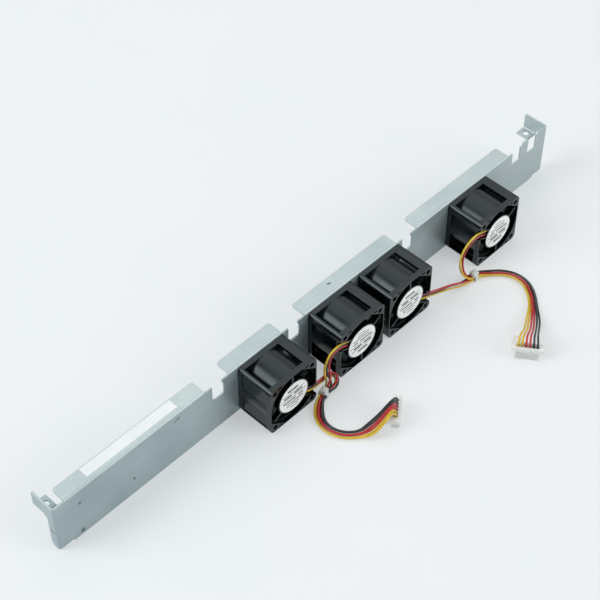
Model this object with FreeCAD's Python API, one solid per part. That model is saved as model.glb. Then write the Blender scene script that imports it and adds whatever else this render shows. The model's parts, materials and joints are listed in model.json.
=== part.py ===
import FreeCAD, Part
import math
import os

# Storage fan module: a folded sheet bracket that carries four small axial fans.
# X runs along the bracket, the fans blow towards -Y, +Z is up.
# The origin is under the middle of the module, on the surface that it stands on.

Vector = FreeCAD.Vector
UP = Vector(0, 0, 1)
BACK = Vector(0, 1, 0)

# Bracket sheet
bracket_length = 443.0
wall_height = 41.7
sheet = 1.0
inner_bend = 0.8
ledge_height = 40.4
bottom_relief_height = 1.5
bottom_relief_length = 11.0

# Top flanges, measured along the bracket from its left end
flange_depth = 11.4
flange_corner = 2.0
first_flange_start = 9.0
first_flange_length = 108.6
second_flange_length = 45.1
third_flange_length = 85.2
flange_gap = 19.8
latch_end_length = 42.3

# Hooked pocket in each gap between two flanges
pocket_offset = 5.8
pocket_width = 9.6
pocket_depth = 14.4
pocket_corner = 2.6
pocket_nose = 1.0
pocket_nose_height = 4.0
pocket_nose_ramp = 1.6
pocket_nose_chamfer = 0.6

# Latch notches and lug at the right end
latch_offset = 4.9
latch_notch_width = 8.4
latch_notch_floor = 29.6
latch_lug_width = 8.3
latch_lug_height = 43.2
latch_lug_corner = 1.6
latch_lug_chamfer = 0.8
latch_notch_corner = 0.8
end_upright_slope = 4.0
upright_root = 5.0

# End flanges and their screw tabs
end_flange_depth = 18.8
end_flange_height = 13.0
end_strip_depth = 6.5
end_strip_corner = 3.8
end_flange_corner = 1.0
tab_reach = 9.0
tab_width = 10.2
tab_hole_inset = 5.0
tab_hole_radius = 2.25

# Labels on the first flange
label_width = 7.2
label_thickness = 0.1
label_edge = 3.6
left_label_start = 29.0
left_label_length = 30.9
right_label_length = 38.9

# Fans: the first centre along the bracket, the gaps between frames, and the last centre from the right end
first_fan_place = 164.4
first_fan_gap = 21.2
second_fan_gap = 5.3
last_fan_inset = 84.4
turned_fans = ("fan_b", "fan_d")
fan_size = 40.0
fan_depth = 28.0
fan_corner = 3.2
fan_flange = 3.5
fan_bore_radius = 19.2
fan_wall = 0.7
fan_hole_pitch = 32.0
fan_hole_radius = 1.75
fan_post = 2.6
fan_panel = 8.5
lead_side_panel = 6.0
plain_side_depth = 0.6
fan_web_long = 12.6
fan_web_short = 9.8
flare_depth = 3.0
mould_slot_length = 3.0
mould_slot_width = 1.4
mould_slot_depth = 2.2
mould_slot_edge = 1.9
air_hole_radius = 18.6
screw_clearance_radius = 2.2

# Fan hub, struts and lead channel
hub_radius = 12.8
hub_setback = 0.2
hub_plate = 0.9
hub_rim_depth = 3.6
hub_rim_wall = 0.8
strut_width = 1.3
strut_depth = 2.8
strut_angles = (92.0, 212.0)
strut_root = 1.0
channel_angle = -28.0
channel_inside = 5.6
channel_wall = 0.8
channel_floor = 0.8
channel_end_radius = 18.6
channel_root = 1.2
channel_clearance = 0.1
lead_notch_width = 7.6
bearing_tube_outer = 3.7
bearing_outer = 3.0
bearing_length = 2.5
bearing_seat = 0.9
bearing_tube_setback = 4.3
hub_label_radius = 12.0
hub_label_thickness = 0.15

# Rotor
rotor_radius = 12.4
rotor_wall = 0.8
rotor_back_gap = 2.8
rotor_front_gap = 0.6
rotor_plate = 1.6
rotor_edge = 1.2
yoke_wall = 0.6
yoke_setback = 0.4
magnet_wall = 1.0
magnet_setback = 1.2
magnet_back_gap = 1.0
rotor_boss_radius = 2.6
rotor_boss_gap = 0.6
shaft_radius = 1.0
shaft_setback = 0.5
bearing_clearance = 0.02
blade_count = 7
blade_tip_gap = 0.5
blade_thickness = 1.3
blade_belly = 0.25
blade_sweep = 62.0
blade_curl = 1.2
blade_front_gap = 0.6
blade_back_gap = 0.9
blade_stations = 5

# Stator and circuit board
pole_count = 4
stator_gap = 0.4
stator_length = 8.0
stator_setback = 1.2
stator_core_wall = 1.3
pole_arm_width = 2.2
pole_shoe = 1.1
pole_slot = 2.0
winding_thickness = 1.3
winding_core_gap = 0.2
winding_shoe_gap = 0.2
board_thickness = 0.8
board_gap = 0.3
board_edge_gap = 0.2
board_bore_gap = 0.05

# Fan screws, driven from behind the bracket
screw_radius = 1.6
screw_length = 4.4
screw_head_radius = 3.0
screw_head_height = 1.9
screw_head_corner = 0.8
screw_recess_width = 0.8
screw_recess_reach = 1.8
screw_recess_depth = 1.0

# Leads
lead_radius = 0.7
lead_setback = 1.9
lead_start_radius = 11.8
lead_exit_radius = 20.5
lead_pitch = 1.6
left_nest_step = 2.3
right_nest_step = 2.1
rise_pitch = 1.84
crest_pitch = 2.25
nest_lift = 1.15
floor_clearance = 0.05
arc_share = 0.45

# Harness connectors
plug_pitch = 2.5
plug_positions = 6
plug_height = 9.8
plug_flange_length = 20.7
plug_flange_thickness = 5.8
plug_flange_height = 3.0
plug_flange_corner = 0.5
plug_body_length = 15.5
plug_body_thickness = 5.0
plug_body_corner = 0.4
plug_cavity = 2.0
plug_mouth = 1.3
plug_mouth_depth = 1.2
plug_block_width = 5.8
plug_block_depth = 4.6
plug_rib_width = 0.7
plug_rib_depth = 0.4
plug_ribs_per_cavity = 2
plug_rib_foot = 1.0
lead_insertion = 2.0
contact_clearance = 0.15
contact_barrel_length = 2.2
contact_barrel_radius = 0.7
contact_sheet = 0.25
contact_roof = 0.9

# Cable ties
tie_band = 0.9
tie_width = 2.4
tie_clearance = 0.15
tie_head_length = 4.2
tie_head_height = 2.6
tie_head_width = 4.2
tie_head_corner = 0.5
tie_tail = 1.2

# How far a cutting solid runs past what it cuts, how deep a piece is sunk into the one that it is fused to,
# how far off an edge may lie when it is picked by its place, and the cosine from which it counts as parallel
overrun = 1.0
fused_depth = 0.5
pick_distance = 0.1
parallel_cosine = 0.999

# Places that follow from the sizes above
wall_front = (fan_depth - end_flange_depth) / 2
wall_back = wall_front + sheet
half_length = bracket_length / 2
bend_reach = sheet + inner_bend
fan_half = fan_size / 2
fan_front = wall_front - fan_depth
hole_offset = fan_hole_pitch / 2
hub_face = -fan_depth + hub_setback
hub_inside = hub_face + hub_plate
hub_rim_end = hub_face + hub_rim_depth
lead_line = -fan_depth + lead_setback
board_front = lead_line + lead_radius + board_gap
board_back = board_front + board_thickness
rotor_front = hub_rim_end + rotor_front_gap
rotor_back = -rotor_back_gap
tube_end = rotor_back - rotor_plate - bearing_tube_setback
shaft_end = rotor_back - shaft_setback
yoke_radius = rotor_radius - rotor_wall
magnet_radius = yoke_radius - yoke_wall
stator_radius = magnet_radius - magnet_wall - stator_gap
blade_tip = fan_bore_radius - blade_tip_gap

fan_b_place = first_fan_place + fan_size + first_fan_gap
fan_c_place = fan_b_place + fan_size + second_fan_gap
fan_d_place = bracket_length - last_fan_inset
fan_places = {"fan_a": first_fan_place, "fan_b": fan_b_place, "fan_c": fan_c_place, "fan_d": fan_d_place}

flange_starts = [first_flange_start]
flange_lengths = [first_flange_length, second_flange_length, third_flange_length]
for flange_length in flange_lengths:
    flange_starts.append(flange_starts[-1] + flange_length + flange_gap)
last_flange_end = bracket_length - latch_end_length
flange_lengths.append(last_flange_end - flange_starts[-1])


def save(name, *solids):
    shape = solids[0] if len(solids) == 1 else Part.makeCompound(list(solids))
    shape.exportStep("parts/%s.step" % name)


def block(low, high):
    size = Vector(*high) - Vector(*low)
    return Part.makeBox(size.x, size.y, size.z, Vector(*low))


def rod(radius, start, end):
    along = Vector(*end) - Vector(*start)
    return Part.makeCylinder(radius, along.Length, Vector(*start), along)


def tube(outer, inner, start, end):
    return rod(outer, start, end).cut(rod(inner, start, end))


def prism(points, direction):
    corners = [Vector(*point) for point in points]
    outline = Part.makePolygon(corners + corners[:1])
    return Part.Face(outline).extrude(Vector(*direction))


def along_bracket(distance):
    return distance - half_length


def round_edges(shape, radius, wanted):
    return shape.makeFillet(radius, [edge for edge in shape.Edges if wanted(edge)])


def is_upright(edge, direction):
    if len(edge.Vertexes) != 2:
        return False
    along = edge.Vertexes[1].Point - edge.Vertexes[0].Point
    return along.Length > 0 and abs(along.normalize().dot(direction)) > parallel_cosine


# Bracket

def hook_pocket(gap_start):
    """The pocket between two flanges, with the nose that narrows its mouth on the right."""
    left = along_bracket(gap_start + pocket_offset)
    right = left + pocket_width
    floor = wall_height - pocket_depth
    top = wall_height + overrun
    front = wall_front - overrun
    thick = sheet + 2 * overrun
    pocket = block((left, front, floor), (right, front + thick, top))
    pocket = round_edges(pocket, pocket_corner, lambda edge: is_upright(edge, BACK)
                         and edge.CenterOfMass.z < floor + pick_distance)
    nose_low = ledge_height - pocket_nose_height
    nose = prism([(right, front, nose_low),
                  (right - pocket_nose, front, nose_low + pocket_nose_ramp),
                  (right - pocket_nose, front, ledge_height - pocket_nose_chamfer),
                  (right - pocket_nose + pocket_nose_chamfer, front, top),
                  (right + overrun, front, top),
                  (right + overrun, front, nose_low)], (0, thick, 0))
    return pocket.cut(nose)


def latch_outline():
    """The right end of the wall's upper edge: notch, lug, notch, and the end upright."""
    first = along_bracket(last_flange_end) + latch_offset
    lug = first + latch_notch_width
    second = lug + latch_lug_width
    upright = second + latch_notch_width
    end = half_length - bend_reach
    low = ledge_height - upright_root
    front = wall_front
    through = (0, sheet, 0)
    lug_block = prism([(lug, front, low), (second, front, low),
                       (second, front, latch_lug_height - latch_lug_chamfer),
                       (second - latch_lug_chamfer, front, latch_lug_height),
                       (lug + latch_lug_corner, front, latch_lug_height),
                       (lug, front, latch_lug_height - latch_lug_corner)], through)
    upright_block = prism([(upright, front, low), (end, front, low), (end, front, wall_height),
                           (end - end_upright_slope, front, latch_lug_height),
                           (upright + latch_lug_corner, front, latch_lug_height),
                           (upright, front, latch_lug_height - latch_lug_corner)], through)
    notches = []
    for left in (first, second):
        notch = block((left, front - overrun, latch_notch_floor),
                      (left + latch_notch_width, wall_back + overrun, latch_lug_height + overrun))
        notches.append(round_edges(notch, latch_notch_corner, lambda edge: is_upright(edge, BACK)
                                   and edge.CenterOfMass.z < latch_notch_floor + pick_distance))
    return [lug_block, upright_block], notches


def top_flange(start, length):
    """One flange that is folded back from the wall's upper edge, with its two rear corners rounded."""
    left = along_bracket(start)
    low = wall_height - bend_reach
    centre_y = wall_front + bend_reach
    slope = math.sqrt(0.5)
    outer = Part.Arc(Vector(left, wall_front, low),
                     Vector(left, centre_y - bend_reach * slope, low + bend_reach * slope),
                     Vector(left, centre_y, wall_height)).toShape()
    inner = Part.Arc(Vector(left, centre_y, wall_height - sheet),
                     Vector(left, centre_y - inner_bend * slope, low + inner_bend * slope),
                     Vector(left, wall_back, low)).toShape()
    rear = wall_front + flange_depth
    corners = [Vector(left, centre_y, wall_height), Vector(left, rear, wall_height),
               Vector(left, rear, wall_height - sheet), Vector(left, centre_y, wall_height - sheet)]
    edges = [outer]
    edges += [Part.makeLine(a, b) for a, b in zip(corners, corners[1:])]
    edges += [inner, Part.makeLine(Vector(left, wall_back, low), Vector(left, wall_front, low))]
    flange = Part.Face(Part.Wire(edges)).extrude(Vector(length, 0, 0))
    return round_edges(flange, flange_corner, lambda edge: is_upright(edge, UP)
                       and edge.CenterOfMass.y > rear - pick_distance)


def end_flange(side):
    """The wall's end, folded back: a wide upper part with its screw tab, and a narrow strip below."""
    outer_x = side * half_length
    inner_x = outer_x - side * sheet
    fold_x = outer_x - side * bend_reach
    fold_y = wall_front + bend_reach
    rear = wall_front + end_flange_depth
    step = wall_height - end_flange_height
    strip = wall_front + end_strip_depth
    foot = bottom_relief_height
    ring = tube(bend_reach, inner_bend, (fold_x, fold_y, foot), (fold_x, fold_y, wall_height))
    quarter = block((min(fold_x, outer_x), wall_front, foot), (max(fold_x, outer_x), fold_y, wall_height))
    plate = prism([(outer_x, fold_y, foot), (outer_x, strip, foot), (outer_x, strip, step),
                   (outer_x, rear, step), (outer_x, rear, wall_height), (outer_x, fold_y, wall_height)],
                  (inner_x - outer_x, 0, 0))
    across = Vector(1, 0, 0)
    plate = round_edges(plate, end_strip_corner, lambda edge: is_upright(edge, across)
                        and edge.CenterOfMass.z < foot + pick_distance
                        and edge.CenterOfMass.y > strip - pick_distance)
    plate = round_edges(plate, end_flange_corner, lambda edge: is_upright(edge, across)
                        and edge.CenterOfMass.z > wall_height - pick_distance
                        and edge.CenterOfMass.y > rear - pick_distance)
    return plate.fuse([ring.common(quarter), end_tab(side)])


def end_tab(side):
    """The horizontal screw tab that is folded inwards from the lower edge of the end flange."""
    outer_x = side * half_length
    tip_x = outer_x - side * tab_reach
    fold_x = outer_x - side * bend_reach
    low = wall_height - end_flange_height
    fold_z = low + bend_reach
    rear = wall_front + end_flange_depth
    near = rear - tab_width
    ring = tube(bend_reach, inner_bend, (fold_x, near, fold_z), (fold_x, rear, fold_z))
    quarter = block((min(fold_x, outer_x), near, low), (max(fold_x, outer_x), rear, fold_z))
    plate = block((min(fold_x, tip_x), near, low), (max(fold_x, tip_x), rear, low + sheet))
    middle = (near + rear) / 2
    hole_x = outer_x - side * tab_hole_inset
    hole = rod(tab_hole_radius, (hole_x, middle, low - overrun), (hole_x, middle, low + sheet + overrun))
    return plate.fuse(ring.common(quarter)).cut(hole)


def end_fold_clearance(side):
    """What the end tab's fold takes away from the square lower edge of the end flange."""
    outer_x = side * half_length
    fold_x = outer_x - side * bend_reach
    low = wall_height - end_flange_height
    near = wall_front + end_flange_depth - tab_width
    rear = wall_front + end_flange_depth
    corner = block((min(fold_x, outer_x), near, low), (max(fold_x, outer_x), rear, low + bend_reach))
    return corner.cut(rod(bend_reach, (fold_x, near, low + bend_reach), (fold_x, rear, low + bend_reach)))


def fan_cut_outs(place):
    """The round air opening and the four screw holes behind one fan."""
    x = along_bracket(place)
    front = wall_front - overrun
    back = wall_back + overrun
    cuts = [rod(air_hole_radius, (x, front, fan_half), (x, back, fan_half))]
    for hole_x in (x - hole_offset, x + hole_offset):
        for hole_z in (fan_half - hole_offset, fan_half + hole_offset):
            cuts.append(rod(screw_clearance_radius, (hole_x, front, hole_z), (hole_x, back, hole_z)))
    return cuts


def bracket():
    left = -half_length + bend_reach
    right = half_length - bend_reach
    wall = block((left, wall_front, 0), (right, wall_back, ledge_height))
    raised, notches = latch_outline()
    first_end = block((left, wall_front, ledge_height - fused_depth),
                      (along_bracket(first_flange_start), wall_back, wall_height))
    wall = wall.fuse(raised + [first_end])
    cuts = list(notches)
    for start, length in zip(flange_starts, flange_lengths):
        cuts.append(block((along_bracket(start), wall_front - overrun, wall_height - bend_reach),
                          (along_bracket(start + length), wall_back + overrun, wall_height + overrun)))
    for start, length in list(zip(flange_starts, flange_lengths))[:-1]:
        cuts.append(hook_pocket(start + length))
    for edge in (-half_length, half_length - bottom_relief_length):
        cuts.append(block((edge, wall_front - overrun, -overrun),
                          (edge + bottom_relief_length, wall_back + overrun, bottom_relief_height)))
    for place in fan_places.values():
        cuts += fan_cut_outs(place)
    wall = wall.cut(cuts)
    folds = [top_flange(start, length) for start, length in zip(flange_starts, flange_lengths)]
    folds += [end_flange(-1), end_flange(1)]
    whole = wall.fuse(folds)
    return whole.cut([end_fold_clearance(-1), end_fold_clearance(1)]).removeSplitter()


def flange_label(start, length):
    left = along_bracket(start)
    front = wall_front + label_edge
    return block((left, front, wall_height),
                 (left + length, front + label_width, wall_height + label_thickness))


# Fan, in its own frame: the hub axis is Y, the intake face is y = 0 and the outlet face is at -fan_depth

def quarter_turns(shape, count=4):
    turned = []
    for index in range(count):
        copy = shape.copy()
        copy.rotate(Vector(0, 0, 0), BACK, index * 360.0 / count)
        turned.append(copy)
    return turned


def side_recesses():
    """The open spaces between the round barrel and the sides of the square frame, between its flanges."""
    front = -fan_depth + fan_flange
    back = -fan_flange
    outside = fan_half + overrun
    post_edge = fan_half - fan_post
    above = block((-post_edge, front, 0), (fan_half - fan_panel, back, outside))
    lead_side = block((0, front, lead_side_panel - fan_half), (outside, back, post_edge))
    plain_side = block((-outside, front, -post_edge), (plain_side_depth - fan_half, back, post_edge))
    barrel = rod(fan_bore_radius + fan_wall, (0, front, 0), (0, back, 0))
    return [space.cut(barrel) for space in quarter_turns(above, 2) + [lead_side, plain_side]]


def outlet_flare():
    """Two opposite corners of the outlet open out to a straight-edged web."""
    edge = fan_half - fan_wall
    corner = prism([(0, -fan_depth, 0), (0, -fan_depth, edge), (fan_half - fan_web_long, -fan_depth, edge),
                    (edge, -fan_depth, fan_half - fan_web_short), (edge, -fan_depth, 0)], (0, flare_depth, 0))
    return quarter_turns(corner, 2)


def mould_slots():
    """A blind slot beside each corner hole, in both flanges' outer faces."""
    slots = []
    z = fan_half - mould_slot_edge
    half_slot = mould_slot_length / 2
    half_width = mould_slot_width / 2
    for side in (-1, 1):
        x = side * (fan_half - fan_panel)
        slots.append(block((x - half_slot, -fan_depth, z - half_width),
                           (x + half_slot, -fan_depth + mould_slot_depth, z + half_width)))
    return slots + [slot for original in slots for slot in quarter_turns(original, 2)[1:]]


def channel_tools():
    """The lead channel's body, its inside and the notch where the leads leave the frame."""
    front = -fan_depth
    inside_floor = lead_line + lead_radius + channel_clearance
    half = channel_inside / 2 + channel_wall
    notch_half = lead_notch_width / 2
    outside = 2 * fan_half
    body = block((hub_radius - channel_root, front + hub_setback, -half),
                 (channel_end_radius + channel_root, inside_floor + channel_floor, half))
    inside = block((hub_radius - channel_root, front - overrun, -channel_inside / 2),
                   (outside, inside_floor, channel_inside / 2))
    notch = block((channel_end_radius, front - overrun, -notch_half), (outside, inside_floor, notch_half))
    tools = [body, inside, notch]
    for tool in tools:
        tool.rotate(Vector(0, 0, 0), BACK, -channel_angle)
    return tools


def strut(angle):
    bar = block((hub_radius - strut_root, hub_face, -strut_width / 2),
                (fan_bore_radius + fused_depth, hub_face + strut_depth, strut_width / 2))
    bar.rotate(Vector(0, 0, 0), BACK, -angle)
    return bar


def hub_base():
    """The fixed hub: a shallow cup that is open to the back, with the bearing tube in its middle."""
    cup = rod(hub_radius, (0, hub_face, 0), (0, hub_rim_end, 0))
    hollow = rod(hub_radius - hub_rim_wall, (0, hub_inside, 0), (0, hub_rim_end, 0))
    sleeve = rod(bearing_tube_outer, (0, hub_inside - fused_depth, 0), (0, tube_end, 0))
    bore = rod(bearing_outer, (0, hub_inside, 0), (0, tube_end + overrun, 0))
    return cup.cut(hollow).fuse(sleeve).cut(bore)


def fan_housing():
    frame = block((-fan_half, -fan_depth, -fan_half), (fan_half, 0, fan_half))
    frame = round_edges(frame, fan_corner, lambda edge: is_upright(edge, BACK))
    cuts = side_recesses() + outlet_flare() + mould_slots()
    cuts.append(rod(fan_bore_radius, (0, -fan_depth - overrun, 0), (0, overrun, 0)))
    for dx in (-hole_offset, hole_offset):
        for dz in (-hole_offset, hole_offset):
            cuts.append(rod(fan_hole_radius, (dx, -fan_depth - overrun, dz), (dx, overrun, dz)))
    frame = frame.cut(cuts)
    channel, inside, notch = channel_tools()
    reach = rod(fan_bore_radius + fused_depth, (0, -fan_depth, 0), (0, 0, 0))
    spokes = [strut(angle) for angle in strut_angles]
    inner_space = rod(hub_radius - hub_rim_wall, (0, hub_inside, 0), (0, 0, 0))
    inner = channel.common(reach).cut(inner_space)
    whole = frame.fuse(spokes + [hub_base(), inner])
    outside = -fan_depth - 2 * overrun
    lead_way = inside.cut(rod(hub_radius - hub_rim_wall, (0, outside, 0), (0, 0, 0)))
    covered = rod(hub_radius, (0, outside, 0), (0, hub_inside, 0))
    return whole.cut([lead_way.cut(covered), notch]).removeSplitter()


def blade():
    """One twisted blade, lofted through radial strips that turn as they go from back to front."""
    back = rotor_back - blade_back_gap
    front = rotor_front + blade_front_gap
    strips = []
    root = rotor_radius - rotor_wall / 2
    for index in range(blade_stations):
        share = index / (blade_stations - 1)
        y = back + (front - back) * share
        half = blade_thickness * (0.5 + blade_belly * math.sin(math.pi * share))
        turn = math.radians(blade_sweep) * share ** blade_curl
        corners = []
        for radius, side in ((root, -half), (blade_tip, -half), (blade_tip, half), (root, half)):
            x = radius * math.cos(turn) - side * math.sin(turn)
            z = radius * math.sin(turn) + side * math.cos(turn)
            corners.append(Vector(x, y, z))
        strips.append(Part.makePolygon(corners + corners[:1]))
    return Part.makeLoft(strips, True, False)


def impeller():
    cup = rod(rotor_radius, (0, rotor_front, 0), (0, rotor_back, 0))
    hollow = rod(yoke_radius, (0, rotor_front, 0), (0, rotor_back - rotor_plate, 0))
    cup = cup.cut(hollow)
    cup = round_edges(cup, rotor_edge, lambda edge: edge.CenterOfMass.y > rotor_back - pick_distance
                      and edge.BoundBox.XLength > 2 * rotor_radius - pick_distance)
    boss = rod(rotor_boss_radius, (0, tube_end + rotor_boss_gap, 0), (0, shaft_end, 0))
    shaft_hole = rod(shaft_radius, (0, tube_end, 0), (0, shaft_end, 0))
    blades = quarter_turns(blade(), blade_count)
    return cup.fuse(boss).cut(shaft_hole).fuse(blades).removeSplitter()


def rotor_yoke():
    return tube(yoke_radius, magnet_radius, (0, rotor_front + yoke_setback, 0),
                (0, rotor_back - rotor_plate, 0))


def rotor_magnet():
    return tube(magnet_radius, magnet_radius - magnet_wall, (0, rotor_front + magnet_setback, 0),
                (0, rotor_back - rotor_plate - magnet_back_gap, 0))


def shaft():
    return rod(shaft_radius, (0, hub_inside + shaft_setback, 0), (0, shaft_end, 0))


def bearings():
    inner = shaft_radius + bearing_clearance
    rings = []
    for start in (hub_inside + bearing_seat, tube_end - bearing_length):
        rings.append(tube(bearing_outer, inner, (0, start, 0), (0, start + bearing_length, 0)))
    return rings


def stator():
    """Laminated core with its poles, and one winding on each pole."""
    back = tube_end - stator_setback
    front = back - stator_length
    core_radius = bearing_tube_outer + stator_core_wall
    core = rod(core_radius, (0, front, 0), (0, back, 0))
    arm_end = stator_radius - pole_shoe / 2
    arm = block((0, front, -pole_arm_width / 2), (arm_end, back, pole_arm_width / 2))
    shoes = tube(stator_radius, stator_radius - pole_shoe, (0, front, 0), (0, back, 0))
    slot = block((0, front - overrun, -pole_slot / 2),
                 (stator_radius + overrun, back + overrun, pole_slot / 2))
    slot.rotate(Vector(0, 0, 0), BACK, 180.0 / pole_count)
    shoes = shoes.cut(quarter_turns(slot, pole_count))
    core = core.fuse(quarter_turns(arm, pole_count) + [shoes])
    core = core.cut(rod(bearing_tube_outer, (0, front, 0), (0, back, 0))).removeSplitter()
    inner = core_radius + winding_core_gap
    outer = stator_radius - pole_shoe - winding_shoe_gap
    wide = pole_arm_width / 2 + winding_thickness
    coil = block((inner, front - winding_thickness, -wide), (outer, back + winding_thickness, wide))
    coil = coil.cut(block((inner, front, -pole_arm_width / 2), (outer, back, pole_arm_width / 2)))
    return [core] + quarter_turns(coil, pole_count)


def circuit_board():
    radius = hub_radius - hub_rim_wall - board_edge_gap
    return tube(radius, bearing_tube_outer + board_bore_gap, (0, board_front, 0), (0, board_back, 0))


def hub_label():
    return rod(hub_label_radius, (0, hub_face - hub_label_thickness, 0), (0, hub_face, 0))


def place_fan(shape, name):
    placed = shape.copy()
    if name in turned_fans:
        placed.rotate(Vector(0, 0, 0), BACK, 180)
    placed.translate(Vector(along_bracket(fan_places[name]), wall_front, fan_half))
    return placed


def fan_screw(x, z):
    """A pan-head screw with a cross recess, driven forwards through the wall into the fan's flange."""
    head_end = wall_back + screw_head_height
    shank = rod(screw_radius, (x, wall_back - screw_length, z), (x, wall_back, z))
    head = rod(screw_head_radius, (x, wall_back, z), (x, head_end, z))
    head = round_edges(head, screw_head_corner, lambda edge: edge.CenterOfMass.y > head_end - pick_distance
                       and edge.BoundBox.XLength > screw_head_radius)
    arm = screw_recess_reach
    half = screw_recess_width / 2
    recess_start = head_end - screw_recess_depth
    flat = block((x - arm, recess_start, z - half), (x + arm, head_end + overrun, z + half))
    tall = block((x - half, recess_start, z - arm), (x + half, head_end + overrun, z + arm))
    return head.fuse(shank).cut([flat, tall]).removeSplitter()


def fan_screws():
    screws = []
    for place in fan_places.values():
        for dx in (-hole_offset, hole_offset):
            for dz in (-hole_offset, hole_offset):
                screws.append(fan_screw(along_bracket(place) + dx, fan_half + dz))
    return screws


# Leads: each bundle has a few stations, and a layout says where every lead lies in its section.
# A layout gives (sideways, upwards) for each lead; sideways is to the right of the way along the lead.

colours = ("black", "red", "yellow")
exit_layout = {"black": (0, 0), "red": (0, lead_pitch), "yellow": (0, -lead_pitch)}
turning_layout = {"black": (-1.0, 0.4), "red": (0, 2.0), "yellow": (0.5, -0.9)}
heaped_layout = {"black": (-1.2, 0), "red": (0, 1.5), "yellow": (1.2, 0)}
row_layout = {"black": (-lead_pitch, 0), "red": (0, 0), "yellow": (lead_pitch, 0)}
sideways_layout = {"black": (0, 0), "red": (-lead_pitch, 0), "yellow": (lead_pitch, 0)}
lifting_layout = {"black": (-0.1, -1.0), "red": (-2.2, 1.3), "yellow": (1.8, 0)}
crossing_layout = {"black": (-1.3, -0.4), "red": (-0.1, 1.8), "yellow": (1.8, 0)}

tie_height = tie_band + tie_clearance + lead_radius
floor_height = lead_radius + floor_clearance
approach_tilt = 0.2


def nested(layer, step):
    """The leads of one fan in two layers: 0 on the floor, 1 in the grooves between the others."""
    offset = (layer - 0.5) * step / 2
    return {colour: ((index - 1) * step + offset, layer * nest_lift) for index, colour in enumerate(colours)}


def flat(layer, pitch):
    """A flat row of all six leads in pairs of one colour."""
    middle = (plug_positions - 1) / 2
    return {colour: ((2 * index + layer - middle) * pitch, 0) for index, colour in enumerate(colours)}


left_tie_ends = [(-29.4, -25.2), (-36.8, -26.8)]
right_tie_ends = [(104.2, -28.4), (111.8, -29.6)]
left_trunk = [(-44.2, -31.8), (-49.6, -39.0), (-50.6, -48.0), (-47.0, -56.4), (-39.8, -62.8)]
left_rise = [(-34.0, -66.4, 4.2)]
left_approach = Vector(-26.6, -68.8, 10.6)
right_trunk = [(118.6, -33.8), (125.2, -39.8), (129.4, -47.6), (129.4, -56.8), (124.8, -66.0), (116.6, -75.0)]
right_rise = [(106.0, -84.2, 4.0)]
right_approach = Vector(95.0, -91.4, 9.4)

left_plug = Vector(-14.0, -69.4, plug_height)
left_plug_angle = 38.0
left_arrival = Vector(1, -0.05, 0)
right_plug = Vector(80.5, -96.2, plug_height)
right_plug_angle = -55.0
right_arrival = Vector(-1, -0.35, 0)
plug_bend_height = 2.8
plug_crest_height = 5.4
plug_crest_reach = 4.6


def fan_exit(fan, radius):
    """A point on the middle line of the fan's lead channel."""
    turn = math.radians(channel_angle)
    flip = -1 if fan in turned_fans else 1
    return Vector(along_bracket(fan_places[fan]) + flip * radius * math.cos(turn), wall_front + lead_line,
                  fan_half + flip * radius * math.sin(turn))


def plug_side(angle):
    """The direction of the plug's row from its black end to its yellow end."""
    turn = math.radians(angle)
    return Vector(-math.cos(turn), -math.sin(turn), 0)


def plug_stations(plug, angle, layer, arrival, approach):
    """The last stations: the approach, over the crest, down, and into the plug's cavities."""
    side = plug_side(angle)
    turning_side = ((side + arrival.cross(UP).normalize()).normalize() + UP * approach_tilt).normalize()
    row = flat(layer, plug_pitch)
    crest = plug - Vector(arrival).normalize() * plug_crest_reach
    return [(approach, UP, flat(layer, rise_pitch), turning_side),
            (crest + UP * plug_crest_height, UP, flat(layer, crest_pitch), side),
            (plug + UP * plug_bend_height, UP, row, side),
            (plug - UP * lead_insertion, UP, row, side)]


def trunk_stations(layer, tie_ends, trunk, rise, nest_step):
    """Two stations at the tie's sides, then the nested part on the floor, then the flat rise."""
    stations = [(Vector(x, y, tie_height + lead_pitch * layer), UP, row_layout) for x, y in tie_ends]
    stations += [(Vector(x, y, floor_height), UP, nested(layer, nest_step)) for x, y in trunk]
    stations += [(Vector(x, y, z), UP, flat(layer, rise_pitch)) for x, y, z in rise]
    return stations


def start_stations(fan, top, layout):
    return [(fan_exit(fan, lead_start_radius), top, layout), (fan_exit(fan, lead_exit_radius), top, layout)]


def fan_a_stations():
    return start_stations("fan_a", UP, exit_layout) + [
        (Vector(-29.4, -21.4, 9.8), UP, exit_layout),
        (Vector(-21.6, -19.4, 7.8), UP, exit_layout),
        (Vector(-18.8, -23.6, 5.8), UP, turning_layout),
        (Vector(-22.8, -27.2, 3.4), UP, heaped_layout)]


def fan_b_stations():
    front = Vector(0, -1, 0)
    return start_stations("fan_b", front, sideways_layout) + [
        (Vector(-22.8, -21.6, 28.2), front, sideways_layout),
        (Vector(-27.0, -22.0, 20.8), Vector(-0.15, -1, 0), sideways_layout),
        (Vector(-27.4, -23.4, 13.4), Vector(-0.6, -0.8, 0.2), lifting_layout),
        (Vector(-26.4, -24.6, 7.4), Vector(-0.9, -0.3, 0.4), crossing_layout)]


def fan_c_stations():
    return start_stations("fan_c", UP, exit_layout) + [
        (Vector(78.6, -24.4, 8.6), UP, exit_layout),
        (Vector(88.0, -25.4, 5.2), UP, turning_layout),
        (Vector(96.6, -27.8, 2.8), UP, heaped_layout)]


def fan_d_stations():
    below = Vector(0, 0, -1)
    right = Vector(1, 0, 0)
    return start_stations("fan_d", below, exit_layout) + [
        (Vector(109.6, -21.6, 28.6), Vector(0.4, 0, -1), exit_layout),
        (Vector(103.4, -21.2, 21.4), right, exit_layout),
        (Vector(100.6, -22.2, 13.8), right, turning_layout),
        (Vector(99.8, -25.8, 7.4), Vector(0.9, -0.2, 0.5), heaped_layout)]


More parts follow.
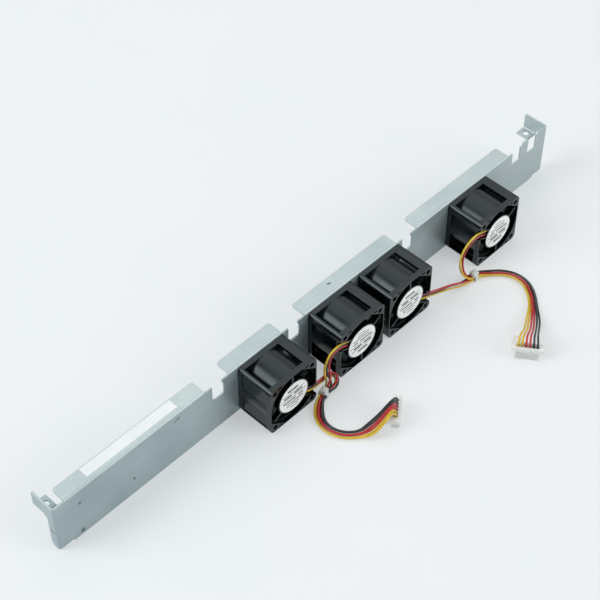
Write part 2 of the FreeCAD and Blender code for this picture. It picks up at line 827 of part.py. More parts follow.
def lead_points(stations, colour):
    """The corner points of one lead: each station's centre, moved sideways and upwards by its layout."""
    centres = [station[0] for station in stations]
    points = []
    for index, (centre, top, layout, *fixed_side) in enumerate(stations):
        way = centres[min(index + 1, len(centres) - 1)] - centres[max(index - 1, 0)]
        side = fixed_side[0] if fixed_side else way.cross(top).normalize()
        upwards = top if fixed_side else side.cross(way).normalize()
        sideways, lift = layout[colour]
        points.append(centre + side * sideways + upwards * lift)
    return points


def lead_path(points):
    """Straight runs joined by tangent arcs, and the smallest radius among the arcs."""
    edges = []
    radii = []
    reached = points[0]
    for before, corner, after in zip(points, points[1:], points[2:]):
        entering = Vector(corner - before)
        leaving = Vector(after - corner)
        shorter = min(entering.Length, leaving.Length)
        half_turn = entering.getAngle(leaving) / 2
        entering.normalize()
        leaving.normalize()
        setback = arc_share * shorter
        radius = setback / math.tan(half_turn)
        arc_start = corner - entering * setback
        arc_end = corner + leaving * setback
        inwards = Vector(leaving - entering).normalize()
        middle = corner + inwards * (radius / math.cos(half_turn) - radius)
        edges.append(Part.LineSegment(reached, arc_start).toShape())
        edges.append(Part.Arc(arc_start, middle, arc_end).toShape())
        radii.append(radius)
        reached = arc_end
    edges.append(Part.LineSegment(reached, points[-1]).toShape())
    return Part.Wire(edges), min(radii)


def lead(name, points):
    path, smallest = lead_path(points)
    ring = Part.Wire(Part.makeCircle(lead_radius, points[0], points[1] - points[0]))
    solid = path.makePipeShell([ring], True, True)
    section = math.pi * lead_radius ** 2 * path.Length
    print("%s: %.1f mm long, smallest radius %.1f mm, volume %.3f of section times length"
          % (name, path.Length, smallest, solid.Volume / section))
    return solid


def harness_routes():
    """The corner points of all twelve leads."""
    left_end = (left_tie_ends, left_trunk, left_rise, left_nest_step)
    right_end = (right_tie_ends, right_trunk, right_rise, right_nest_step)
    left_last = (left_plug, left_plug_angle, left_arrival, left_approach)
    right_last = (right_plug, right_plug_angle, right_arrival, right_approach)
    fans = [("a", fan_a_stations(), 0, left_end, left_last),
            ("b", fan_b_stations(), 1, left_end, left_last),
            ("c", fan_c_stations(), 0, right_end, right_last),
            ("d", fan_d_stations(), 1, right_end, right_last)]
    routes = {}
    for letter, stations, layer, shared, (plug, angle, arrival, approach) in fans:
        stations = (stations + trunk_stations(layer, *shared)
                    + plug_stations(plug, angle, layer, arrival, approach))
        for colour in colours:
            routes["lead_%s_%s" % (letter, colour)] = lead_points(stations, colour)
    return routes


# Connectors, in their own frame: the row runs along X, the cavities along Z, the leads enter from above

def plug_columns():
    return [(index - (plug_positions - 1) / 2) * plug_pitch for index in range(plug_positions)]


def plug_housing():
    """A thin body with a wider flange at the lead entries, six cavities, ribs, and a block at one end."""
    half_body = plug_body_length / 2
    half_flange = plug_flange_length / 2
    flange_foot = plug_height - plug_flange_height
    body = block((-half_body, -plug_body_thickness / 2, 0), (half_body, plug_body_thickness / 2, flange_foot))
    body = round_edges(body, plug_body_corner, lambda edge: is_upright(edge, UP))
    flange = block((-half_flange, -plug_flange_thickness / 2, flange_foot),
                   (half_flange, plug_flange_thickness / 2, plug_height))
    flange = round_edges(flange, plug_flange_corner, lambda edge: is_upright(edge, UP))
    back = plug_flange_thickness / 2
    ear = block((-half_flange, back - fused_depth, flange_foot),
                (-half_flange + plug_block_width, back + plug_block_depth, plug_height))
    ribs = []
    rib_count = plug_positions * plug_ribs_per_cavity
    rib_pitch = plug_pitch / plug_ribs_per_cavity
    for index in range(rib_count):
        x = (index - (rib_count - 1) / 2) * rib_pitch
        ribs.append(block((x - plug_rib_width / 2, -plug_body_thickness / 2 - plug_rib_depth, plug_rib_foot),
                          (x + plug_rib_width / 2, 0, flange_foot + fused_depth)))
    whole = body.fuse([flange, ear] + ribs)
    cuts = []
    for x in plug_columns():
        half = plug_cavity / 2
        mouth = plug_mouth / 2
        cuts.append(block((x - half, -half, plug_mouth_depth), (x + half, half, plug_height + overrun)))
        cuts.append(block((x - mouth, -mouth, -overrun), (x + mouth, mouth, plug_mouth_depth + overrun)))
    return whole.cut(cuts).removeSplitter()


def plug_contacts():
    """Six crimp contacts: a round barrel under each lead's end, and a square box that rests in the cavity."""
    contacts = []
    half = plug_cavity / 2 - contact_clearance
    inside = half - contact_sheet
    barrel_top = plug_height - lead_insertion
    box_top = barrel_top - contact_barrel_length
    for x in plug_columns():
        barrel = rod(contact_barrel_radius, (x, 0, box_top - fused_depth), (x, 0, barrel_top))
        box = block((x - half, -half, plug_mouth_depth), (x + half, half, box_top))
        socket = block((x - inside, -inside, 0), (x + inside, inside, box_top - contact_roof))
        contacts.append(box.fuse(barrel).cut(socket).removeSplitter())
    return contacts


def place_plug(shape, plug, angle):
    placed = shape.copy()
    placed.rotate(Vector(0, 0, 0), UP, angle)
    placed.translate(Vector(plug.x, plug.y, 0))
    return placed


def cable_tie(ends):
    """A band round the six leads, with its square head on top and the cut tail beside it."""
    start, end = [Vector(x, y, tie_height) for x, y in ends]
    way = end - start
    angle = math.degrees(math.atan2(way.y, way.x)) - 90
    half_width = lead_pitch + lead_radius + tie_clearance
    low = -lead_radius - tie_clearance
    high = lead_pitch + lead_radius + tie_clearance
    half = tie_width / 2
    outer = block((-half_width - tie_band, -half, low - tie_band),
                  (half_width + tie_band, half, high + tie_band))
    outer = round_edges(outer, lead_radius + tie_band, lambda edge: is_upright(edge, BACK))
    inner = block((-half_width, -half - overrun, low), (half_width, half + overrun, high))
    inner = round_edges(inner, lead_radius, lambda edge: is_upright(edge, BACK))
    head_top = high + tie_band + tie_head_height
    head = block((-tie_head_length / 2, -tie_head_width / 2, high),
                 (tie_head_length / 2, tie_head_width / 2, head_top))
    head = round_edges(head, tie_head_corner, lambda edge: edge.CenterOfMass.z > head_top - pick_distance)
    tail = block((-tie_band / 2, -half, head_top - fused_depth), (tie_band / 2, half, head_top + tie_tail))
    tie = outer.fuse([head, tail]).cut(inner).removeSplitter()
    tie.rotate(Vector(0, 0, 0), UP, angle)
    tie.translate((start + end) * 0.5)
    return tie


def main():
    os.makedirs("parts", exist_ok=True)
    save("bracket", bracket())
    save("bracket_label_left", flange_label(left_label_start, left_label_length))
    save("bracket_label_right", flange_label(left_label_start + left_label_length, right_label_length))
    pieces = {"housing": [fan_housing()], "impeller": [impeller()], "rotor_yoke": [rotor_yoke()],
              "rotor_magnet": [rotor_magnet()], "shaft": [shaft()], "bearings": bearings(),
              "stator": stator(), "circuit_board": [circuit_board()], "hub_label": [hub_label()]}
    for fan in fan_places:
        for piece, solids in pieces.items():
            save("%s_%s" % (fan, piece), *[place_fan(solid, fan) for solid in solids])
    save("fan_screws", *fan_screws())
    for name, points in harness_routes().items():
        save(name, lead(name, points))
    housing = plug_housing()
    contacts = plug_contacts()
    for name, plug, angle in (("left", left_plug, left_plug_angle), ("right", right_plug, right_plug_angle)):
        save("connector_%s_housing" % name, place_plug(housing, plug, angle))
        save("connector_%s_contacts" % name, *[place_plug(solid, plug, angle) for solid in contacts])
    save("cable_tie_left", cable_tie(left_tie_ends))
    save("cable_tie_right", cable_tie(right_tie_ends))


main()
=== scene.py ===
import json
import math

import bpy
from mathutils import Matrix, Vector


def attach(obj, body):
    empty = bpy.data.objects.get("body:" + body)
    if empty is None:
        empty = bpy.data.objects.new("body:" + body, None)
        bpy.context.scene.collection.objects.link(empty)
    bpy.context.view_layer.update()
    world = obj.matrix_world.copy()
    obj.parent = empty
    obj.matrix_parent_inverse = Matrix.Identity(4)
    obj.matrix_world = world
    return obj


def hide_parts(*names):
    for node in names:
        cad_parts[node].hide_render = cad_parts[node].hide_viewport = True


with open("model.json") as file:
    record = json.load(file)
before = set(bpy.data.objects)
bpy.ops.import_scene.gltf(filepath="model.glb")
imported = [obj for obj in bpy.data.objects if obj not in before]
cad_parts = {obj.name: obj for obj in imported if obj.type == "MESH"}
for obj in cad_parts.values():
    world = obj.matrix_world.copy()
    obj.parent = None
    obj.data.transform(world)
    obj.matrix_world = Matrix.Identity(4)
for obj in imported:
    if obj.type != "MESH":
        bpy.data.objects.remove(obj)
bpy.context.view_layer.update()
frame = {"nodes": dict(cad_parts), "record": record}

# Storage fan module on a pale table, seen from the front left and above.
# Metres, in the CAD's frame: X along the bracket, -Y the way the fans blow, +Z up.

nodes = frame["nodes"]
RIGHT = Vector((1, 0, 0))
FRONT = Vector((0, -1, 0))
UP = Vector((0, 0, 1))
MM = 0.001


# Camera: place in metres, angles in degrees, lens and sensor in millimetres

camera_place = (-0.48393, -0.44749, 0.78874)
camera_angles = (41.491, 0.123, -45.700)
camera_lens = 95.96
sensor_width = 36.0
nearest_seen = 0.05


def make_camera():
    data = bpy.data.cameras.new("camera")
    data.sensor_fit = "HORIZONTAL"
    data.sensor_width = sensor_width
    data.lens = camera_lens
    data.clip_start = nearest_seen
    camera = bpy.data.objects.new("camera", data)
    camera.location = camera_place
    camera.rotation_euler = [math.radians(angle) for angle in camera_angles]
    bpy.context.scene.collection.objects.link(camera)
    bpy.context.scene.camera = camera


make_camera()


# Leads: in millimetres and degrees, as in the part's source, and turned into metres at the end.
# A station is a place of the bundle's middle, the direction that counts as up there, and a layout.
# A layout says how far each colour lies to the side of the middle and above it.

lead_radius = 0.7
lead_pitch = 1.6
nest_lift = 1.15
rise_pitch = 1.84
crest_pitch = 2.25
plug_pitch = 2.5
tie_height = 1.75
floor_height = 0.75
approach_tilt = 0.2

colours = ("black", "red", "yellow")
middle_colour = 1
middle_position = 2.5
middle_layer = 0.5
exit_layout = {"black": (0, 0), "red": (0, lead_pitch), "yellow": (0, -lead_pitch)}
turning_layout = {"black": (-1.0, 0.4), "red": (0, 2.0), "yellow": (0.5, -0.9)}
heaped_layout = {"black": (-1.2, 0), "red": (0, 1.5), "yellow": (1.2, 0)}
row_layout = {"black": (-lead_pitch, 0), "red": (0, 0), "yellow": (lead_pitch, 0)}
sideways_layout = {"black": (0, 0), "red": (-lead_pitch, 0), "yellow": (lead_pitch, 0)}
lifting_layout = {"black": (-0.1, -1.0), "red": (-2.2, 1.3), "yellow": (1.8, 0)}
crossing_layout = {"black": (-1.3, -0.4), "red": (-0.1, 1.8), "yellow": (1.8, 0)}

# Fans: where the leads leave the lead channel of each housing
fan_centres = {"fan_a": -57.1, "fan_b": 4.1, "fan_c": 49.4, "fan_d": 137.1}
turned_fans = ("fan_b", "fan_d")
fan_half = 20.0
lead_line = -21.5
lead_start_radius = 11.8
lead_exit_radius = 20.5
channel_angle = -28.0

# From each fan to its tie: the up direction and the layout in the channel, then the stations after it
fan_routes = {
    "fan_a": (UP, exit_layout, [
        ((-29.4, -21.4, 9.8), UP, exit_layout),
        ((-21.6, -19.4, 7.8), UP, exit_layout),
        ((-18.8, -23.6, 5.8), UP, turning_layout),
        ((-22.8, -27.2, 3.4), UP, heaped_layout)]),
    "fan_b": (FRONT, sideways_layout, [
        ((-22.8, -21.6, 28.2), FRONT, sideways_layout),
        ((-27.0, -22.0, 20.8), Vector((-0.15, -1, 0)), sideways_layout),
        ((-27.4, -23.4, 13.4), Vector((-0.6, -0.8, 0.2)), lifting_layout),
        ((-26.4, -24.6, 7.4), Vector((-0.9, -0.3, 0.4)), crossing_layout)]),
    "fan_c": (UP, exit_layout, [
        ((78.6, -24.4, 8.6), UP, exit_layout),
        ((88.0, -25.4, 5.2), UP, turning_layout),
        ((96.6, -27.8, 2.8), UP, heaped_layout)]),
    "fan_d": (-UP, exit_layout, [
        ((109.6, -21.6, 28.6), Vector((0.4, 0, -1)), exit_layout),
        ((103.4, -21.2, 21.4), RIGHT, exit_layout),
        ((100.6, -22.2, 13.8), RIGHT, turning_layout),
        ((99.8, -25.8, 7.4), Vector((0.9, -0.2, 0.5)), heaped_layout)]),
}

# Harnesses: from the tie along the floor, and up into the plug
plug_height = 9.8
plug_bend_height = 2.8
plug_crest_height = 5.4
plug_crest_reach = 4.6
lead_insertion = 2.0
harnesses = {
    "left": {
        "tie_ends": [(-29.4, -25.2), (-36.8, -26.8)],
        "trunk": [(-44.2, -31.8), (-49.6, -39.0), (-50.6, -48.0), (-47.0, -56.4), (-39.8, -62.8)],
        "nest_step": 2.3,
        "rise": (-34.0, -66.4, 4.2),
        "approach": Vector((-26.6, -68.8, 10.6)),
        "arrival": Vector((1, -0.05, 0)),
        "plug": Vector((-14.0, -69.4, plug_height)),
        "plug_angle": 38.0},
    "right": {
        "tie_ends": [(104.2, -28.4), (111.8, -29.6)],
        "trunk": [(118.6, -33.8), (125.0, -39.6), (129.0, -47.2), (128.9, -56.2), (124.0, -65.1),
                  (115.4, -73.8)],
        "nest_step": 2.1,
        "rise": (104.0, -82.2, 4.0),
        "approach": Vector((93.0, -89.3, 9.4)),
        "arrival": Vector((-0.8, -0.6, 0)),
        "plug": Vector((80.5, -96.2, plug_height)),
        "plug_angle": -55.0},
}

# The harness that each fan's leads run in, and their layer in its trunk
fan_harnesses = {"fan_a": ("left", 0), "fan_b": ("left", 1), "fan_c": ("right", 0), "fan_d": ("right", 1)}


def nested(layer, step):
    """The three leads of one layer side by side, the upper layer in the dips of the lower one."""
    offset = (layer - middle_layer) * step / 2
    return {colour: ((index - middle_colour) * step + offset, layer * nest_lift)
            for index, colour in enumerate(colours)}


def flat(layer, pitch):
    """Six positions in one row, in which each colour has a pair of places, one for each layer."""
    return {colour: ((2 * index + layer - middle_position) * pitch, 0)
            for index, colour in enumerate(colours)}


def fan_exit(fan, radius):
    flip = -1 if fan in turned_fans else 1
    turn = math.radians(channel_angle)
    return Vector((fan_centres[fan] + flip * radius * math.cos(turn), lead_line,
                   fan_half + flip * radius * math.sin(turn)))


def fan_stations(fan):
    top, layout, route = fan_routes[fan]
    channel = [(fan_exit(fan, radius), top, layout) for radius in (lead_start_radius, lead_exit_radius)]
    return channel + [(Vector(place), way_up, spread) for place, way_up, spread in route]


def trunk_stations(harness, layer):
    height = tie_height + lead_pitch * layer
    stations = [(Vector((x, y, height)), UP, row_layout) for x, y in harness["tie_ends"]]
    stations += [(Vector((x, y, floor_height)), UP, nested(layer, harness["nest_step"]))
                 for x, y in harness["trunk"]]
    stations.append((Vector(harness["rise"]), UP, flat(layer, rise_pitch)))
    return stations


def plug_stations(harness, layer):
    """Stations with a side direction of their own, because the row has to line up with the plug."""
    plug, arrival = harness["plug"], harness["arrival"]
    turn = math.radians(harness["plug_angle"])
    side = Vector((-math.cos(turn), -math.sin(turn), 0))
    turning_side = (side + arrival.cross(UP).normalized()).normalized()
    turning_side = (turning_side + UP * approach_tilt).normalized()
    row = flat(layer, plug_pitch)
    crest = plug - arrival.normalized() * plug_crest_reach
    return [(harness["approach"], UP, flat(layer, rise_pitch), turning_side),
            (crest + UP * plug_crest_height, UP, flat(layer, crest_pitch), side),
            (plug + UP * plug_bend_height, UP, row, side),
            (plug - UP * lead_insertion, UP, row, side)]


def lead_points(stations, colour):
    centres = [station[0] for station in stations]
    points = []
    for index, (centre, top, layout, *fixed_side) in enumerate(stations):
        way = centres[min(index + 1, len(centres) - 1)] - centres[max(index - 1, 0)]
        side = fixed_side[0] if fixed_side else way.cross(top).normalized()
        upwards = top if fixed_side else side.cross(way).normalized()
        sideways, lift = layout[colour]
        points.append((centre + side * sideways + upwards * lift) * MM)
    return points


def make_lead(name, points):
    curve = bpy.data.curves.new(name + "_cord", "CURVE")
    curve.dimensions = "3D"
    curve.bevel_depth = 1.0
    curve.bevel_resolution = 5
    curve.resolution_u = 10
    curve.use_fill_caps = True
    spline = curve.splines.new("NURBS")
    spline.points.add(len(points) - 1)
    for point, place in zip(spline.points, points):
        point.co = (place.x, place.y, place.z, 1)
        # A curve's box grows by the radius of its points, so the thickness is given there
        point.radius = lead_radius * MM
    spline.order_u = 3
    spline.use_endpoint_u = True
    piece = bpy.data.objects.new(name + "_cord", curve)
    bpy.context.scene.collection.objects.link(piece)
    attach(piece, "root")
    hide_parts(name)
    return piece


def make_leads():
    """The twelve leads, each with the slot of its colour."""
    leads = []
    for fan, (side, layer) in fan_harnesses.items():
        harness = harnesses[side]
        stations = fan_stations(fan) + trunk_stations(harness, layer) + plug_stations(harness, layer)
        for colour in colours:
            name = "%s_%s" % (fan.replace("fan", "lead"), colour)
            slot = "lead_" + colour
            leads.append((make_lead(name, lead_points(stations, colour)), slot))
    return leads


leads = make_leads()


# Materials: colours as they are seen, 0 to 255, and texture scales per metre

# Most values of a noise texture lie between these two, so its tones are spread between them
noise_low = 0.3
noise_high = 0.7


def srgb(red, green, blue):
    """A colour as it is seen, turned into the linear values that a shader takes."""
    def linear(value):
        share = value / 255
        return share / 12.92 if share <= 0.04045 else ((share + 0.055) / 1.055) ** 2.4
    return (linear(red), linear(green), linear(blue), 1.0)


def feed(tree, value, socket):
    """Links a socket to another node's output, or sets it to a constant."""
    if isinstance(value, bpy.types.NodeSocket):
        tree.links.new(value, socket)
    else:
        socket.default_value = value


def calculate(tree, operation, first, second=0.0):
    node = tree.nodes.new("ShaderNodeMath")
    node.operation = operation
    for socket, value in zip(node.inputs, (first, second)):
        feed(tree, value, socket)
    return node.outputs["Value"]


class Shader:
    """A node material with a Principled shader, and short calls that add nodes to it."""

    def __init__(self, name):
        self.material = bpy.data.materials.new(name)
        self.material.use_nodes = True
        self.tree = self.material.node_tree
        self.surface = self.tree.nodes["Principled BSDF"]

    def node(self, kind, **values):
        node = self.tree.nodes.new(kind)
        for key, value in values.items():
            node.inputs[key].default_value = value
        return node

    def join(self, source, target):
        self.tree.links.new(source, target)

    def place(self, scale=(1, 1, 1), offset=(0, 0, 0)):
        """Object coordinates, moved and stretched."""
        coordinates = self.node("ShaderNodeTexCoord")
        mapping = self.node("ShaderNodeMapping", Location=offset, Scale=scale)
        self.join(coordinates.outputs["Object"], mapping.inputs["Vector"])
        return mapping.outputs["Vector"]

    def axes(self, place):
        split = self.node("ShaderNodeSeparateXYZ")
        self.join(place, split.inputs["Vector"])
        return split.outputs["X"], split.outputs["Z"]

    def noise(self, place, scale, detail=4.0, roughness=0.55):
        noise = self.node("ShaderNodeTexNoise", Scale=scale, Detail=detail, Roughness=roughness)
        self.join(place, noise.inputs["Vector"])
        return noise.outputs["Fac"]

    def tones(self, source, *seen_colours):
        """Colours spread evenly over the usual values of a noise."""
        first, *between, last = [srgb(*colour) for colour in seen_colours]
        ramp = self.node("ShaderNodeValToRGB")
        elements = ramp.color_ramp.elements
        elements[0].position, elements[0].color = noise_low, first
        elements[1].position, elements[1].color = noise_high, last
        step = (noise_high - noise_low) / (len(between) + 1)
        for index, colour in enumerate(between, 1):
            elements.new(noise_low + index * step).color = colour
        self.join(source, ramp.inputs["Fac"])
        return ramp.outputs["Color"]

    def span(self, source, low, high, start=noise_low, end=noise_high):
        span = self.node("ShaderNodeMapRange")
        limits = {"From Min": start, "From Max": end, "To Min": low, "To Max": high}
        for key, value in limits.items():
            span.inputs[key].default_value = value
        self.join(source, span.inputs["Value"])
        return span.outputs["Result"]

    def math(self, operation, first, second=0.0):
        return calculate(self.tree, operation, first, second)

    def mix(self, share, first, second):
        node = self.node("ShaderNodeMix")
        node.data_type = "RGBA"
        sockets = {socket.identifier: socket for socket in (*node.inputs, *node.outputs)}
        self.join(share, sockets["Factor_Float"])
        feed(self.tree, first, sockets["A_Color"])
        feed(self.tree, second, sockets["B_Color"])
        return sockets["Result_Color"]

    def bump(self, height, strength, distance, edge=0.0):
        """Relief, with edges rounded over the given width where there is one."""
        bump = self.node("ShaderNodeBump", Strength=strength, Distance=distance)
        self.join(height, bump.inputs["Height"])
        if edge:
            bevel = self.node("ShaderNodeBevel", Radius=edge)
            self.join(bevel.outputs["Normal"], bump.inputs["Normal"])
        self.join(bump.outputs["Normal"], self.surface.inputs["Normal"])

    def colour(self, value):
        self.join(value, self.surface.inputs["Base Color"])

    def rough(self, value):
        self.join(value, self.surface.inputs["Roughness"])

    def fixed(self, **values):
        for key, value in values.items():
            self.surface.inputs[key.replace("_", " ")].default_value = value


# Galvanised sheet: painted light makes it paler above its folds and towards the right end, and these places
# are in metres
fold_start, fold_end = 0.0400, 0.0412
right_end_start, right_end_full = 0.07, 0.20
# How much paler the right end is painted, as painted light
right_end_painted_light = 0.9
rolling_stretch = (30, 900, 900)
crystal_stretch = (1, 1, 1.4)
crystal_scale = 330.0
crystal_radius = 0.22
crystal_strength = 0.9
speck_scale = 150.0
speck_start, speck_full = 0.765, 0.79
speck_strength = 0.75


def galvanised_steel():
    """Zinc-coated sheet with faint crystals, rolling lines and small dark marks, and painted light: a lit,
    paler top flange, a shaded wall and a paler right end.
    """
    shader = Shader("galvanised_steel_look")
    lines = shader.noise(shader.place(rolling_stretch), scale=1.0, detail=5.0, roughness=0.6)
    clouds = shader.noise(shader.place(), scale=24.0, detail=3.0)
    crystals = shader.node("ShaderNodeTexVoronoi", Scale=crystal_scale, Randomness=1.0)
    shader.join(shader.place(crystal_stretch), crystals.inputs["Vector"])
    x, z = shader.axes(shader.place())
    # Painted light: masks for the top flange and the right end, where the sheet takes its lit, paler colours
    painted_top_light = shader.span(z, 0.0, 1.0, fold_start, fold_end)
    painted_end_light = shader.span(x, 0.0, right_end_painted_light, right_end_start, right_end_full)
    # Painted shade on the wall and painted light on the top flange: a shaded and a lit copy of the same
    # sheet's colour
    shaded_wall_tones = shader.tones(clouds, (146, 165, 171), (157, 174, 180), (167, 182, 187))
    lit_top_tones = shader.tones(clouds, (168, 182, 184), (179, 191, 193), (190, 201, 202))
    sheet = shader.mix(shader.math("MAXIMUM", painted_top_light, painted_end_light), shaded_wall_tones, lit_top_tones)
    fine = shader.tones(lines, (150, 165, 170), (216, 223, 222))
    sheet = shader.mix(shader.span(lines, 0.05, 0.22), sheet, fine)
    crystal_tone = shader.span(crystals.outputs["Distance"], 0.0, crystal_radius, 0.0, crystal_strength)
    sheet = shader.mix(crystal_tone, sheet, srgb(156, 170, 175))
    specks = shader.noise(shader.place(), speck_scale, detail=1.0, roughness=0.3)
    speck_share = shader.span(specks, 0.0, speck_strength, speck_start, speck_full)
    shader.colour(shader.mix(speck_share, sheet, srgb(60, 66, 70)))
    shader.rough(shader.span(lines, 0.34, 0.48))
    shader.fixed(Metallic=0.4)
    shader.bump(lines, 0.1, 0.0002, edge=0.0004)
    return shader.material


def moulded(name, dark, light, smooth, rough):
    """Moulded plastic: a fine spark-eroded grain, and broad patches that are a little glossier."""
    shader = Shader(name)
    place = shader.place()
    grain = shader.noise(place, scale=1500.0, detail=3.0, roughness=0.6)
    clouds = shader.noise(place, scale=70.0, detail=3.0)
    shader.colour(shader.tones(clouds, dark, light))
    shader.rough(shader.span(clouds, smooth, rough))
    shader.fixed(Specular_Tint=(0.82, 0.95, 1.0, 1.0), Specular_IOR_Level=0.42)
    shader.bump(grain, 0.10, 0.0001, edge=0.0003)
    return shader.material


def metal(name, dark, light, smooth, rough, scale=400.0):
    """Bare metal with a fine grain along one direction."""
    shader = Shader(name)
    grain = shader.noise(shader.place(scale=(1, 6, 1)), scale)
    shader.colour(shader.tones(grain, dark, light))
    shader.rough(shader.span(grain, smooth, rough))
    shader.fixed(Metallic=1.0)
    shader.bump(grain, 0.1, 0.0001, edge=0.0002)
    return shader.material


def lead_cover(name, dark, light):
    """Soft, slightly shiny insulation."""
    shader = Shader(name)
    place = shader.place()
    clouds = shader.noise(place, scale=260.0, detail=3.0)
    grain = shader.noise(place, scale=2200.0, detail=2.0)
    shader.colour(shader.tones(clouds, dark, light))
    shader.rough(shader.span(grain, 0.30, 0.42))
    shader.bump(grain, 0.06, 0.0001)
    shader.fixed(Coat_Weight=0.15)
    return shader.material


def milky(name, dark, light, scatter):
    """White plastic that lets some light through."""
    shader = Shader(name)
    clouds = shader.noise(shader.place(), scale=160.0, detail=3.0)
    shader.colour(shader.tones(clouds, dark, light))
    shader.rough(shader.span(clouds, 0.26, 0.38))
    shader.fixed(Subsurface_Weight=scatter, Subsurface_Radius=(0.004, 0.004, 0.004), Subsurface_Scale=0.4,
                 Transmission_Weight=0.18)
    shader.bump(clouds, 0.05, 0.0002, edge=0.0003)
    return shader.material


def blank_paper():
    shader = Shader("label_paper_look")
    place = shader.place()
    fibre = shader.noise(place, scale=900.0)
    clouds = shader.noise(place, scale=60.0, detail=2.0)
    shader.colour(shader.tones(clouds, (233, 237, 238), (243, 245, 245)))
    shader.rough(shader.span(fibre, 0.42, 0.55))
    shader.bump(fibre, 0.05, 0.0001)
    return shader.material


# Printed rules and bars on a hub label, in millimetres: how high and how far to the right of the label's
# centre the middle of each lies, and half its height and length
print_bars = ((4.8, 0.26, 0.0, 9.4), (0.9, 0.26, 0.0, 11.0), (7.4, 0.80, -0.6, 4.4), (2.8, 0.80, -5.0, 3.2),
              (2.8, 0.80, 3.8, 3.6), (-1.5, 0.6, -3.6, 5.4), (-1.5, 0.6, 6.0, 2.2), (-4.0, 0.42, 0.6, 7.2),
              (-6.2, 0.36, -1.0, 5.2), (-8.5, 0.30, 0.4, 3.0))
# How much ink the palest print keeps, and the noise values where the print goes from pale to full
pale_ink = 0.6
pale_ink_end, full_ink_start = 0.38, 0.48


def band(shader, value, centre, half):
    """1 inside a band round a value, 0 outside it."""
    distance = shader.math("ABSOLUTE", shader.math("SUBTRACT", value, centre))
    return shader.math("LESS_THAN", distance, half)


def hub_print(fan):
    """White disc with plain printed rules and short bars, turned over on the fans that are turned."""
    shader = Shader(fan + "_hub_print")
    flip = -1 if fan in turned_fans else 1
    x, z = shader.axes(shader.place(scale=(flip / MM, 1 / MM, flip / MM),
                                    offset=(-flip * fan_centres[fan], 0, -flip * fan_half)))
    ink = 0.0
    for middle_z, half_z, middle_x, half_x in print_bars:
        mark = shader.math("MULTIPLY", band(shader, z, middle_z, half_z), band(shader, x, middle_x, half_x))
        ink = shader.math("MAXIMUM", ink, mark)
    grain = shader.noise(shader.place(scale=(1, 1, 0.35)), scale=1500.0, detail=3.0)
    ink = shader.math("MULTIPLY", ink, shader.span(grain, pale_ink, 1.0, pale_ink_end, full_ink_start))
    clouds = shader.noise(shader.place(), scale=90.0, detail=2.0)
    paper = shader.tones(clouds, (244, 246, 247), (251, 252, 252))
    shader.colour(shader.mix(ink, paper, srgb(10, 11, 13)))
    shader.rough(shader.span(grain, 0.34, 0.46))
    shader.bump(grain, 0.03, 0.0001)
    return shader.material


looks = {
    "galvanised_steel": galvanised_steel(),
    "label_paper": blank_paper(),
    "black_plastic": moulded("black_plastic_look", (3, 5, 7), (8, 12, 15), 0.16, 0.30),
    "impeller_plastic": moulded("impeller_plastic_look", (8, 11, 14), (15, 19, 23), 0.22, 0.34),
    "rotor_steel": metal("rotor_steel_look", (130, 134, 138), (160, 164, 168), 0.3, 0.42),
    "magnet_rubber": moulded("magnet_look", (48, 45, 42), (62, 58, 54), 0.6, 0.75),
    "shaft_steel": metal("shaft_steel_look", (176, 180, 184), (200, 204, 208), 0.15, 0.25),
    "bearing_bronze": metal("bearing_bronze_look", (158, 128, 74), (182, 150, 92), 0.35, 0.5),
    "copper_winding": metal("copper_winding_look", (160, 92, 50), (192, 118, 70), 0.3, 0.45, scale=1600.0),
    "board_laminate": moulded("board_look", (36, 78, 52), (48, 96, 64), 0.35, 0.5),
    "screw_steel": metal("screw_steel_look", (146, 152, 157), (176, 181, 185), 0.28, 0.4),
    "lead_red": lead_cover("lead_red_look", (176, 28, 34), (200, 44, 48)),
    "lead_yellow": lead_cover("lead_yellow_look", (206, 168, 30), (228, 192, 48)),
    "lead_black": lead_cover("lead_black_look", (20, 22, 24), (32, 34, 36)),
    "connector_plastic": milky("connector_look", (242, 244, 242), (252, 252, 250), scatter=0.25),
    "contact_metal": metal("contact_look", (190, 172, 110), (214, 198, 140), 0.25, 0.4),
    "tie_nylon": milky("tie_look", (224, 227, 225), (240, 242, 240), scatter=0.6),
}


def dress_pieces():
    for entry in frame["record"]["subparts"]:
        name = entry["node"]
        materials = nodes[name].data.materials
        materials.clear()
        if name.endswith("_hub_label"):
            materials.append(hub_print(name.removesuffix("_hub_label")))
        else:
            materials.append(looks[entry["material_slot"]])
    for piece, slot in leads:
        piece.data.materials.append(looks[slot])


dress_pieces()


# Floor, world and lamps

floor_half = 3.0
paper_tone = (238, 242, 243)
# How far the camera sees the floor as plain pale paper, without its shadows
floor_paleness = 0.45
world_tint = (0.94, 0.99, 1.0, 1.0)
world_strength = 0.40

# Lamps: place, target and size in metres, power in watts, colour
lamps = {
    "key": ((-1.68, 1.08, 1.34), (0, 0, 0), (1.35, 1.95), 35.0, (0.98, 1.0, 0.99)),
    "top": ((0.45, 0.5, 1.5), (0, 0, 0), (1.4, 1.4), 5.5, (1.0, 1.0, 0.98)),
    "fill": ((0.85, -1.5, 0.9), (0.1, 0, 0), (1.2, 1.2), 13.0, (1.0, 1.0, 0.98)),
}


def seen_rays(tree):
    """1 for the rays that come from the camera, straight or by a reflection or through glass."""
    sight = tree.nodes.new("ShaderNodeLightPath")
    share = sight.outputs["Is Camera Ray"]
    for kind in ("Is Glossy Ray", "Is Transmission Ray"):
        share = calculate(tree, "MAXIMUM", share, sight.outputs[kind])
    return share


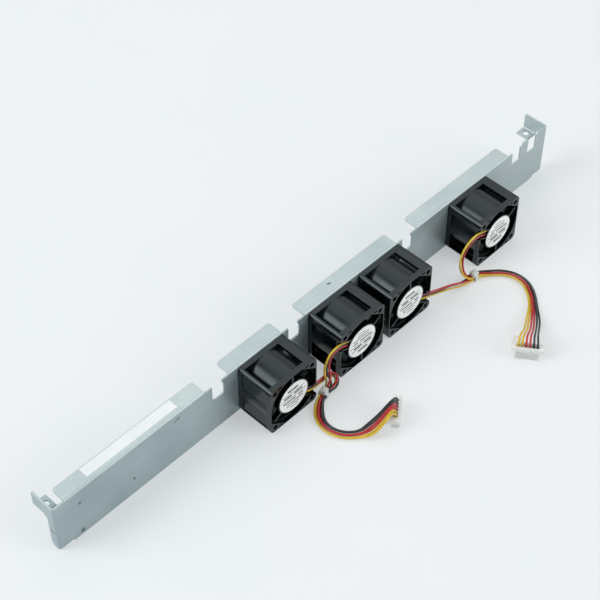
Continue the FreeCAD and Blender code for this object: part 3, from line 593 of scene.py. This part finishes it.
def show_paper(tree, lit, paper, paleness, output):
    """Blends the lit shader with plain paper for the rays that are seen, and leaves it to light the rest."""
    share = calculate(tree, "MULTIPLY", seen_rays(tree), paleness)
    blend = tree.nodes.new("ShaderNodeMixShader")
    for source, socket in zip((share, lit, paper), blend.inputs):
        tree.links.new(source, socket)
    tree.links.new(blend.outputs["Shader"], tree.nodes[output].inputs["Surface"])


def make_floor():
    shader = Shader("floor_look")
    clouds = shader.noise(shader.place(), scale=8.0, detail=2.0)
    shader.colour(shader.tones(clouds, (240, 243, 245), (244, 246, 248)))
    shader.fixed(Roughness=0.7, Specular_IOR_Level=0.2)
    paper = shader.node("ShaderNodeEmission", Color=srgb(*paper_tone))
    show_paper(shader.tree, shader.surface.outputs["BSDF"], paper.outputs["Emission"], floor_paleness,
               "Material Output")
    mesh = bpy.data.meshes.new("floor")
    corners = [(-floor_half, -floor_half, 0), (floor_half, -floor_half, 0),
               (floor_half, floor_half, 0), (-floor_half, floor_half, 0)]
    mesh.from_pydata(corners, [], [(0, 1, 2, 3)])
    floor = bpy.data.objects.new("floor", mesh)
    floor.data.materials.append(shader.material)
    bpy.context.scene.collection.objects.link(floor)


def make_world():
    world = bpy.data.worlds.new("studio")
    bpy.context.scene.world = world
    world.use_nodes = True
    tree = world.node_tree
    light = tree.nodes["Background"]
    light.inputs["Color"].default_value = world_tint
    light.inputs["Strength"].default_value = world_strength
    paper = tree.nodes.new("ShaderNodeBackground")
    paper.inputs["Color"].default_value = srgb(*paper_tone)
    show_paper(tree, light.outputs["Background"], paper.outputs["Background"], 1.0, "World Output")


def make_lamp(name, place, target, size, power, colour):
    data = bpy.data.lights.new(name, "AREA")
    data.shape = "RECTANGLE"
    data.size, data.size_y = size
    data.energy = power
    data.color = colour
    lamp = bpy.data.objects.new(name, data)
    lamp.location = place
    lamp.rotation_euler = (Vector(target) - Vector(place)).to_track_quat("-Z", "Y").to_euler()
    bpy.context.scene.collection.objects.link(lamp)


make_floor()
make_world()
for name, values in lamps.items():
    make_lamp(name, *values)

bpy.context.scene.view_settings.view_transform = "Standard"
